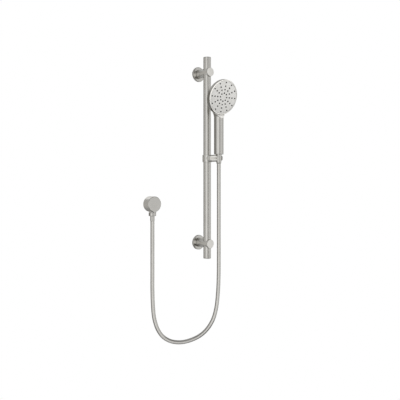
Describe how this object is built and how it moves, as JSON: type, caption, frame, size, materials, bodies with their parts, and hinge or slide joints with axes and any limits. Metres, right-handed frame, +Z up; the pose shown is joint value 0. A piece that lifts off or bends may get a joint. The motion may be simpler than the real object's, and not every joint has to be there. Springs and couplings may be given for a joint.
{
  "type": "hand shower rail set",
  "caption": "Wall-mounted hand shower: round spray head on a straight handle, held in a tilting holder that slides on a vertical rail, with its hose and wall outlet.",
  "frame": {"origin": "centre of the lower post's wall plate, on the wall face", "axes": "+X right along the wall as seen from the room, +Y into the wall, +Z up along the rail"},
  "size_m": [0.2722, 0.1501, 0.9247],
  "materials": {
    "brushed_nickel": "satin nickel plate over metal, fine brushing",
    "plated_plastic": "satin nickel plate over moulded plastic",
    "face_plastic": "pale silver-grey spray face, semi-gloss",
    "silicone": "dark grey silicone, matt",
    "white_plastic": "moulded acetal, natural white",
    "black_rubber": "moulded rubber, matt",
    "brass": "machined",
    "steel": "plain stainless",
    "hose_skin": "smooth satin tube in a pale nickel colour"
  },
  "bodies": {
    "wall_set": {"rail_tube": "brushed_nickel", "rail_top_cap": "brushed_nickel", "rail_bottom_cap": "brushed_nickel", "lower_wall_plate": "steel", "lower_flange_cover": "brushed_nickel", "lower_flange_oring": "black_rubber", "lower_post": "brushed_nickel", "lower_post_cap": "brushed_nickel", "lower_rail_set_screw": "steel", "lower_post_grub_screw": "steel", "upper_wall_plate": "steel", "upper_flange_cover": "brushed_nickel", "upper_flange_oring": "black_rubber", "upper_post": "brushed_nickel", "upper_post_cap": "brushed_nickel", "upper_rail_set_screw": "steel", "upper_post_grub_screw": "steel", "outlet_body": "brushed_nickel", "outlet_inlet_bush": "brass", "outlet_gasket": "black_rubber", "outlet_grub_screw": "steel", "check_valve_seat": "white_plastic", "check_valve_cage": "white_plastic", "check_valve_spring": "steel", "hose_lower_ferrule": "brushed_nickel", "hose_lower_nut": "brushed_nickel", "hose_lower_washer": "black_rubber", "hose": "hose_skin"},
    "valve_poppet": {"check_valve_poppet": "white_plastic"},
    "carriage": {"slider_upper_bush": "white_plastic", "slider_lower_bush": "white_plastic"},
    "collar": {"slider_collar": "plated_plastic", "friction_plunger": "white_plastic", "friction_spring": "steel", "pivot_washer": "white_plastic", "pivot_spring_washer": "steel", "pivot_screw": "steel"},
    "holder": {"holder_body": "plated_plastic"},
    "hose_end": {"hose_upper_ferrule": "brushed_nickel"},
    "handset": {"handset_shell": "plated_plastic", "inlet_spigot": "brass", "water_tube": "white_plastic", "water_tube_seal": "black_rubber", "face_ring": "plated_plastic", "face_plate": "face_plastic", "nozzle_mat": "silicone", "distributor_plate": "white_plastic", "face_seal": "black_rubber", "plate_screw_1": "steel", "plate_screw_2": "steel", "plate_screw_3": "steel", "hose_cone_nut": "brushed_nickel", "filter_washer": "black_rubber"}
  },
  "joints": [
    {"name": "slider_slide", "type": "slide", "parent": "wall_set", "child": "carriage", "axis": [0, 0, 1], "range_m": [-0.24, 0.24], "deforming": ["hose"]},
    {"name": "slider_turn", "type": "hinge", "parent": "carriage", "child": "collar", "pos_m": [0, -0.05, 0.28], "axis": [0, 0, 1], "range_deg": [-45, 45], "deforming": ["hose"]},
    {"name": "holder_tilt", "type": "hinge", "parent": "collar", "child": "holder", "pos_m": [0, -0.075, 0.28], "axis": [0, -1, 0], "range_deg": [-40, 40], "deforming": ["hose"]},
    {"name": "handset_lift", "type": "slide", "parent": "holder", "child": "hose_end", "axis": [0, 0, 1], "range_m": [0, 0.03], "deforming": ["hose"]},
    {"name": "handset_swivel", "type": "hinge", "parent": "hose_end", "child": "handset", "pos_m": [0, -0.11, 0.29], "axis": [0, 0, 1], "range_deg": [-55, 55]},
    {"name": "check_valve_open", "type": "slide", "parent": "wall_set", "child": "valve_poppet", "axis": [0, 0, -1], "range_m": [0, 0.003], "stiffness_N_per_m": 60, "springref_m": -0.006, "deforming": ["check_valve_spring"]}
  ]
}
